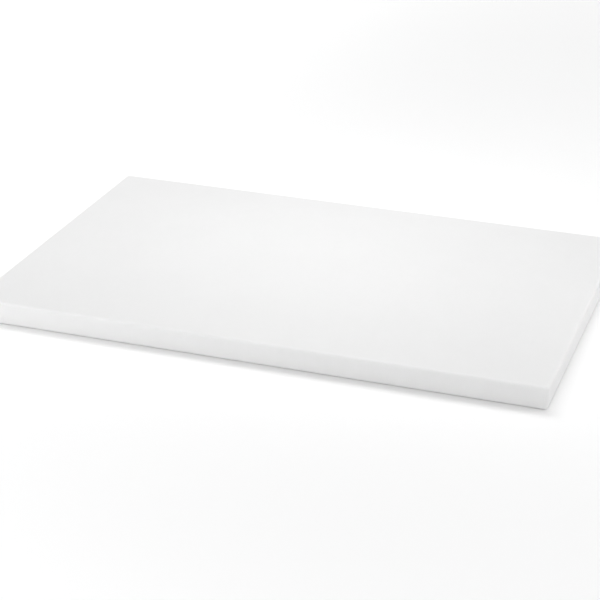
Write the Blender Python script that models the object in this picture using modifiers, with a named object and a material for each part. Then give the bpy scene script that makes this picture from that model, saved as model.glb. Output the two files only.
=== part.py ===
"""White polyethylene cutting board, 18 x 12 inches in plan and 18 mm thick: one reversible slab.

Sheet polyethylene is sawn to a rectangle, its four corners are rounded and a router takes the
sharpness off both rims. Nothing is fastened to it, so the whole object is one solid.

Metres, +Z up. X runs along the length and Y across the width. The origin is the centre of the
underside, so the board rests on z = 0.
"""

from math import radians

import bmesh
import bpy

INCH = 0.0254

# Driving dimensions
BOARD_LENGTH = 18 * INCH
BOARD_WIDTH = 12 * INCH
BOARD_THICKNESS = 0.018  # sold as 3/4 inch sheet
CORNER_RADIUS = 0.003  # of the four upright corners, seen from above
RIM_RADIUS = 0.0022  # of the rounds along the upper and the lower rim

# Fineness of the rounds: facets in each quarter turn
CORNER_FACETS = 12
RIM_FACETS = 6

# An edge sharper than this is a rim. Neighbouring facets of a corner meet at far less.
RIM_ANGLE = radians(30)

# Look of the material
PLASTIC_COLOUR = (0.79, 0.79, 0.79, 1.0)
PLASTIC_ROUGHNESS = 0.47
PLASTIC_IOR = 1.54


def clear_scene():
    for old in list(bpy.data.objects):
        bpy.data.objects.remove(old, do_unlink=True)


def new_collection(name):
    collection = bpy.data.collections.new(name)
    bpy.context.scene.collection.children.link(collection)
    return collection


def white_polyethylene():
    """Undyed high-density polyethylene: a neutral, slightly waxy white."""
    material = bpy.data.materials.new("white_polyethylene")
    material.use_nodes = True
    shader = material.node_tree.nodes["Principled BSDF"]
    shader.inputs["Base Color"].default_value = PLASTIC_COLOUR
    shader.inputs["Roughness"].default_value = PLASTIC_ROUGHNESS
    shader.inputs["Metallic"].default_value = 0.0
    shader.inputs["IOR"].default_value = PLASTIC_IOR
    return material


def is_upright(edge):
    start, end = (vertex.co for vertex in edge.verts)
    run = end - start
    return abs(run.z) > run.xy.length


def slab_mesh(name):
    """The sawn slab, standing on z = 0, with its upright edges weighted for rounding."""
    shape = bmesh.new()
    bmesh.ops.create_cube(shape, size=1.0)
    size = (BOARD_LENGTH, BOARD_WIDTH, BOARD_THICKNESS)
    bmesh.ops.scale(shape, vec=size, verts=shape.verts)
    bmesh.ops.translate(shape, vec=(0, 0, BOARD_THICKNESS / 2), verts=shape.verts)
    weight = shape.edges.layers.float.new("bevel_weight_edge")
    for edge in filter(is_upright, shape.edges):
        edge[weight] = 1.0
    mesh = bpy.data.meshes.new(name)
    shape.to_mesh(mesh)
    shape.free()
    return mesh


def round_corners(board):
    """The four upright edges, each turned into a quarter cylinder."""
    bevel = board.modifiers.new("corner_rounds", "BEVEL")
    bevel.limit_method = "WEIGHT"
    bevel.width = CORNER_RADIUS
    bevel.segments = CORNER_FACETS


def round_rims(board):
    """The upper and lower rims, rounded all the way round, corners included."""
    bevel = board.modifiers.new("rim_rounds", "BEVEL")
    bevel.limit_method = "ANGLE"
    bevel.angle_limit = RIM_ANGLE
    bevel.width = RIM_RADIUS
    bevel.segments = RIM_FACETS


def shade_flats_flat(board):
    """Shading only: smooth rounds beside flat faces, because the larger face sets each normal."""
    board.data.shade_smooth()
    board.modifiers.new("larger_face_normals", "WEIGHTED_NORMAL")


def make_board(collection):
    board = bpy.data.objects.new("board", slab_mesh("board"))
    collection.objects.link(board)
    board.data.materials.append(white_polyethylene())
    round_corners(board)
    round_rims(board)
    shade_flats_flat(board)
    return board


def main():
    clear_scene()
    make_board(new_collection("cutting_board"))


main()
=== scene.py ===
"""Looks of the white polyethylene cutting board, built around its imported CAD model.

The board is one piece. It is rebuilt here with finer rounds than the CAD solid has, in the same
box, and gets the waxy, finely grained surface of undyed high-density polyethylene.

Metres, +Z up, origin at the centre of the underside, as in the frame.
"""

import math

import bmesh
import bpy
from mathutils import Matrix, Vector


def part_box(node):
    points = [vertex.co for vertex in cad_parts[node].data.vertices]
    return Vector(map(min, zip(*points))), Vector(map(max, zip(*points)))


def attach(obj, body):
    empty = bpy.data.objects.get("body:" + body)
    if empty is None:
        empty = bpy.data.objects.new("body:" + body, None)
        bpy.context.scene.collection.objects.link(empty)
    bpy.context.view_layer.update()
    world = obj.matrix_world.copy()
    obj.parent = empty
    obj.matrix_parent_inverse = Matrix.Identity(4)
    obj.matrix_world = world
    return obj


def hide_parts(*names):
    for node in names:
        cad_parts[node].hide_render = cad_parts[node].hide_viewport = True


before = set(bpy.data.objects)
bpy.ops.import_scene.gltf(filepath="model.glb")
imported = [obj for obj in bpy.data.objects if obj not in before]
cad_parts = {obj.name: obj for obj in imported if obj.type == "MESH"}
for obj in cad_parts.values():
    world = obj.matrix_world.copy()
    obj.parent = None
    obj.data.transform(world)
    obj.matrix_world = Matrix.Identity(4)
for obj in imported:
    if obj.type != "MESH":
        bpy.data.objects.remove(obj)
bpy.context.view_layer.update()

# Fineness of the rounds: facets in each quarter turn
CORNER_FACETS = 32
RIM_FACETS = 12

# Two heights or places nearer than this are the same
TOUCH = 1e-5


# ---------------------------------------------------------------- the board's shape

def measured_radii(cad_node, low, high):
    """The radii of the upright corners and of the rims, read from where the CAD's flat faces end."""
    points = [vertex.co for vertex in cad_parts[cad_node].data.vertices]
    on_top = [point.x for point in points if high.z - point.z < TOUCH]
    on_long_edge = [point.x for point in points if point.y - low.y < TOUCH]
    return high.x - max(on_long_edge), high.x - max(on_top)


def outline(low, high, radius, inset):
    """A rectangle with round corners, counterclockwise, drawn in from its largest size by inset."""
    bend = radius - inset
    points = []
    for corner in range(4):
        across = 1 if corner in (0, 3) else -1
        along = 1 if corner in (0, 1) else -1
        centre_x = high.x - radius if across > 0 else low.x + radius
        centre_y = high.y - radius if along > 0 else low.y + radius
        for step in range(CORNER_FACETS + 1):
            angle = math.pi / 2 * (corner + step / CORNER_FACETS)
            points.append((centre_x + bend * math.cos(angle), centre_y + bend * math.sin(angle)))
    return points


def edge_profile(low, high, corner_radius, rim_radius):
    """(inset, height) from inside the underside, round its rim, up the edge and round the upper rim.

    It starts and ends a corner radius inside, where an outline's corner shrinks to a point.
    """
    lower = [(corner_radius, low.z)]
    for step in range(RIM_FACETS + 1):
        angle = math.pi / 2 * step / RIM_FACETS
        inset = rim_radius * (1 - math.sin(angle))
        lower.append((inset, low.z + rim_radius * (1 - math.cos(angle))))
    upper = [(inset, low.z + high.z - height) for inset, height in reversed(lower)]
    return lower + upper


def slab_mesh(name, low, high, corner_radius, rim_radius):
    """One loop of points for each step of the edge's profile, joined by faces, and a flat at each end."""
    shape = bmesh.new()
    loops = []
    for inset, height in edge_profile(low, high, corner_radius, rim_radius):
        ring = outline(low, high, corner_radius, inset)
        loops.append([shape.verts.new((x, y, height)) for x, y in ring])
    for below, above in zip(loops, loops[1:]):
        for i in range(len(below)):
            j = (i + 1) % len(below)
            shape.faces.new((below[i], below[j], above[j], above[i]))
    shape.faces.new(list(reversed(loops[0])))
    shape.faces.new(loops[-1])
    bmesh.ops.remove_doubles(shape, verts=shape.verts, dist=TOUCH)
    mesh = bpy.data.meshes.new(name)
    shape.to_mesh(mesh)
    shape.free()
    mesh.shade_smooth()
    return mesh


def make_slab(low, high):
    """The board with fine rounds, in place of the CAD node and in the same box."""
    corner_radius, rim_radius = measured_radii("board", low, high)
    mesh = slab_mesh("slab", low, high, corner_radius, rim_radius)
    slab = bpy.data.objects.new("slab", mesh)
    bpy.context.scene.collection.objects.link(slab)
    slab.modifiers.new("larger_face_normals", "WEIGHTED_NORMAL")
    slab.data.materials.append(white_polyethylene())
    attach(slab, "root")
    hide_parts("board")


# ---------------------------------------------------------------- materials

# The plastic. Every pitch and depth is in metres.
WHITE = (0.786, 0.794)  # the darkest and the lightest of its faint clouds
CLOUD_PITCH = 0.045
FACE_ROUGHNESS = (0.40, 0.53)  # of its glossiest and its most matt patches
PATCH_PITCH = 0.011
EDGE_EXTRA_ROUGHNESS = 0.05
PLASTIC_IOR = 1.54
SCATTER_SHARE = 0.7  # of the light that isn't reflected, how much soaks in
SCATTER_DEPTH = 0.0028

# Its relief: grain and orange peel on the two faces, cutter ripple and chatter along the edges
GRAIN_PITCH = 0.0012
GRAIN_DEPTH = 0.00011
PEEL_PITCH = 0.004
PEEL_DEPTH = 0.00012
CUTTER_PITCH = 0.0017
CUTTER_DEPTH = 0.00005
CUTTER_WANDER = 1.2  # how far the ripple strays from an even pitch
CHATTER_PITCH = 0.009
CHATTER_DEPTH = 0.00015

# How upright a normal is, from 0 to 1, where the edge ends and where the flat face begins
EDGE_TO_FACE = (0.35, 0.9)

NOISE_RANGE = (0.3, 0.7)  # nearly all of a noise texture's values
WAVE_PITCH = math.pi / 10  # of a wave texture whose scale is 1

PAPER_WHITE = (0.96, 0.96, 0.96, 1.0)


def node(tree, kind, inputs=None, **settings):
    """A new shader node with these settings, its inputs given as values or as sockets to link."""
    made = tree.nodes.new("ShaderNode" + kind)
    for name, value in settings.items():
        setattr(made, name, value)
    for name, value in (inputs or {}).items():
        if isinstance(value, bpy.types.NodeSocket):
            tree.links.new(value, made.inputs[name])
        else:
            made.inputs[name].default_value = value
    return made


def noise(tree, place, pitch, detail):
    """Smooth noise, its lumps about one pitch apart."""
    inputs = {"Vector": place, "Scale": 1 / pitch, "Detail": detail}
    return node(tree, "TexNoise", inputs).outputs["Fac"]


def streaks(tree, along, pitch, detail):
    """The same noise along one line only."""
    inputs = {"W": along, "Scale": 1 / pitch, "Detail": detail}
    return node(tree, "TexNoise", inputs, noise_dimensions="1D").outputs["Fac"]


def ranged(tree, value, from_range, to_range):
    """The value, stretched from one range to the other and held inside it."""
    inputs = {
        "Value": value,
        "From Min": from_range[0],
        "From Max": from_range[1],
        "To Min": to_range[0],
        "To Max": to_range[1],
    }
    return node(tree, "MapRange", inputs).outputs["Result"]


def product(tree, first, second):
    return node(tree, "Math", {0: first, 1: second}, operation="MULTIPLY").outputs["Value"]


def relief(tree, height, depth, under=None):
    """The surface normal after a height from 0 to 1 stands up by depth."""
    inputs = {"Height": height, "Distance": depth, "Strength": 1.0}
    if under:
        inputs["Normal"] = under
    return node(tree, "Bump", inputs).outputs["Normal"]


def edge_share(tree, coordinates):
    """1 on the machined edges and 0 on the two faces, with the rims between them."""
    normal = node(tree, "SeparateXYZ", {"Vector": coordinates.outputs["Normal"]})
    upright = node(tree, "Math", {0: normal.outputs["Z"]}, operation="ABSOLUTE")
    return ranged(tree, upright.outputs["Value"], EDGE_TO_FACE, (1.0, 0.0))


def along_edge(tree, place):
    """How far along its edge a point is: x plus y runs on round the corners without a seam."""
    inputs = {0: place, 1: (1.0, 1.0, 0.0)}
    return node(tree, "VectorMath", inputs, operation="DOT_PRODUCT").outputs["Value"]


def face_relief(tree, place, faces):
    """Fine matt grain over a slight orange peel, as rolled polyethylene sheet has."""
    grain = product(tree, noise(tree, place, GRAIN_PITCH, detail=2.0), faces)
    peel = product(tree, noise(tree, place, PEEL_PITCH, detail=0.0), faces)
    return relief(tree, grain, GRAIN_DEPTH, relief(tree, peel, PEEL_DEPTH))


def edge_relief(tree, place, edges, under):
    """The ripple that a cutter leaves as it runs along the edge, and its uneven chatter."""
    along = along_edge(tree, place)
    inputs = {"Vector": along, "Scale": WAVE_PITCH / CUTTER_PITCH, "Distortion": CUTTER_WANDER}
    ripple = node(tree, "TexWave", inputs, bands_direction="X").outputs["Fac"]
    chatter = streaks(tree, along, CHATTER_PITCH, detail=3.0)
    rippled = relief(tree, product(tree, ripple, edges), CUTTER_DEPTH, under)
    return relief(tree, product(tree, chatter, edges), CHATTER_DEPTH, rippled)


def white_polyethylene():
    """Undyed high-density polyethylene: neutral, waxy and faintly cloudy, and light soaks in a little."""
    material = bpy.data.materials.new("white_polyethylene")
    material.use_nodes = True
    tree = material.node_tree
    coordinates = node(tree, "TexCoord")
    place = coordinates.outputs["Object"]
    edges = edge_share(tree, coordinates)
    faces = node(tree, "Math", {0: 1.0, 1: edges}, operation="SUBTRACT").outputs["Value"]

    cloud = ranged(tree, noise(tree, place, CLOUD_PITCH, detail=3.0), NOISE_RANGE, WHITE)
    colour = node(tree, "CombineColor", {"Red": cloud, "Green": cloud, "Blue": cloud})
    patches = ranged(tree, noise(tree, place, PATCH_PITCH, detail=4.0), NOISE_RANGE, FACE_ROUGHNESS)
    rougher_edges = {0: edges, 1: EDGE_EXTRA_ROUGHNESS, 2: patches}
    roughness = node(tree, "Math", rougher_edges, operation="MULTIPLY_ADD")

    shader = tree.nodes["Principled BSDF"]
    tree.links.new(colour.outputs["Color"], shader.inputs["Base Color"])
    tree.links.new(roughness.outputs["Value"], shader.inputs["Roughness"])
    normal = edge_relief(tree, place, edges, face_relief(tree, place, faces))
    tree.links.new(normal, shader.inputs["Normal"])
    shader.inputs["IOR"].default_value = PLASTIC_IOR
    shader.inputs["Subsurface Weight"].default_value = SCATTER_SHARE
    shader.inputs["Subsurface Radius"].default_value = (1.0, 1.0, 1.0)
    shader.inputs["Subsurface Scale"].default_value = SCATTER_DEPTH
    return material


def studio_floor():
    """Matt white paper."""
    material = bpy.data.materials.new("studio_floor")
    material.use_nodes = True
    shader = material.node_tree.nodes["Principled BSDF"]
    shader.inputs["Base Color"].default_value = PAPER_WHITE
    shader.inputs["Roughness"].default_value = 1.0
    shader.inputs["Specular IOR Level"].default_value = 0.0
    return material


# ---------------------------------------------------------------- studio

FLOOR_RADIUS = 8.0
FLOOR_SIDES = 128

# The camera. Angles are in degrees, and the azimuth is from straight in front, towards +X.
CAMERA_AZIMUTH = 18.267
CAMERA_ELEVATION = 23.66
CAMERA_ROLL = 0.82
CAMERA_DISTANCE = 1.487
CAMERA_AIM = Vector((0.0, -0.0266, 0.0))
LENS_MM = 110.36
SENSOR_MM = 36.0
CLIP_START = 0.01

ROOM_LIGHT = 0.5  # the same from all sides

# The soft boxes round the board: name, place, aim, size and watts
SOFT_BOXES = (
    ("pool", (-0.01, 0.05, 0.36), (-0.01, 0.05, 0.0), (0.18, 0.18), 0.42),
    ("high_back", (0.05, 0.45, 1.15), (0.0, 0.05, 0.0), (0.6, 0.6), 3.9),
    ("low_front", (-0.3, -1.05, 0.1), (-0.1, -0.15, 0.0), (0.5, 0.18), 1.6),
    ("low_left", (-0.6, -0.55, 0.07), (-0.2, -0.15, 0.0), (0.3, 0.12), 0.45),
    ("right", (1.1, 0.2, 0.7), (0.0, 0.0, 0.0), (0.8, 0.8), 3.2),
    ("right_end", (0.29, 0.0, 0.17), (0.29, 0.0, 0.0), (0.06, 0.25), 0.021),
)

# The banks that look straight down, to keep the paper white: name, x and y, size and watts
FLOOR_BANKS = (
    ("bank_back", (0.0, 1.7), (2.4, 1.2), 5.1),
    ("bank_front", (0.0, -1.6), (2.4, 1.2), 14.5),
    ("bank_left", (-1.7, 0.3), (1.2, 2.4), 46.5),
    ("bank_right", (1.7, 0.3), (1.2, 2.4), 8.5),
)
BANK_HEIGHT = 1.2

# Width of a beam, in degrees
BOX_SPREAD = 180
BANK_SPREAD = 100


def make_camera():
    """It looks at its aim from in front, above and a little to the right."""
    azimuth = math.radians(CAMERA_AZIMUTH)
    elevation = math.radians(CAMERA_ELEVATION)
    back = Vector((
        math.sin(azimuth) * math.cos(elevation),
        -math.cos(azimuth) * math.cos(elevation),
        math.sin(elevation),
    ))
    camera = bpy.data.objects.new("camera", bpy.data.cameras.new("camera"))
    camera.data.lens = LENS_MM
    camera.data.sensor_width = SENSOR_MM
    camera.data.clip_start = CLIP_START
    level = back.to_track_quat("Z", "Y").to_matrix().to_4x4()
    tilt = Matrix.Rotation(math.radians(CAMERA_ROLL), 4, "Z")
    camera.matrix_world = Matrix.Translation(CAMERA_AIM + CAMERA_DISTANCE * back) @ level @ tilt
    bpy.context.scene.collection.objects.link(camera)
    bpy.context.scene.camera = camera


def make_floor():
    """A round sheet of white paper, far wider than the view."""
    mesh = bpy.data.meshes.new("floor")
    shape = bmesh.new()
    bmesh.ops.create_circle(shape, cap_ends=True, segments=FLOOR_SIDES, radius=FLOOR_RADIUS)
    shape.to_mesh(mesh)
    shape.free()
    floor = bpy.data.objects.new("floor", mesh)
    bpy.context.scene.collection.objects.link(floor)
    floor.data.materials.append(studio_floor())


def soft_light(name, place, aim, size, watts, spread):
    """A rectangle of light, which doesn't show itself."""
    light = bpy.data.lights.new(name, "AREA")
    light.shape = "RECTANGLE"
    light.size, light.size_y = size
    light.energy = watts
    light.spread = math.radians(spread)
    box = bpy.data.objects.new(name, light)
    box.location = place
    box.rotation_euler = (Vector(aim) - Vector(place)).to_track_quat("-Z", "Y").to_euler()
    box.visible_camera = False
    bpy.context.scene.collection.objects.link(box)


def light_room():
    """Plain pale surroundings, with colours shown as they are."""
    scene = bpy.context.scene
    scene.view_settings.view_transform = "Standard"
    scene.world = bpy.data.worlds.new("pale_room")
    scene.world.use_nodes = True
    room = scene.world.node_tree.nodes["Background"]
    room.inputs["Color"].default_value = (1.0, 1.0, 1.0, 1.0)
    room.inputs["Strength"].default_value = ROOM_LIGHT


def light_studio():
    light_room()
    for name, place, aim, size, watts in SOFT_BOXES:
        soft_light(name, place, aim, size, watts, BOX_SPREAD)
    for name, (x, y), size, watts in FLOOR_BANKS:
        soft_light(name, (x, y, BANK_HEIGHT), (x, y, 0.0), size, watts, BANK_SPREAD)


# ---------------------------------------------------------------- scene


def main():
    low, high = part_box("board")
    make_camera()
    make_floor()
    light_studio()
    make_slab(low, high)


main()
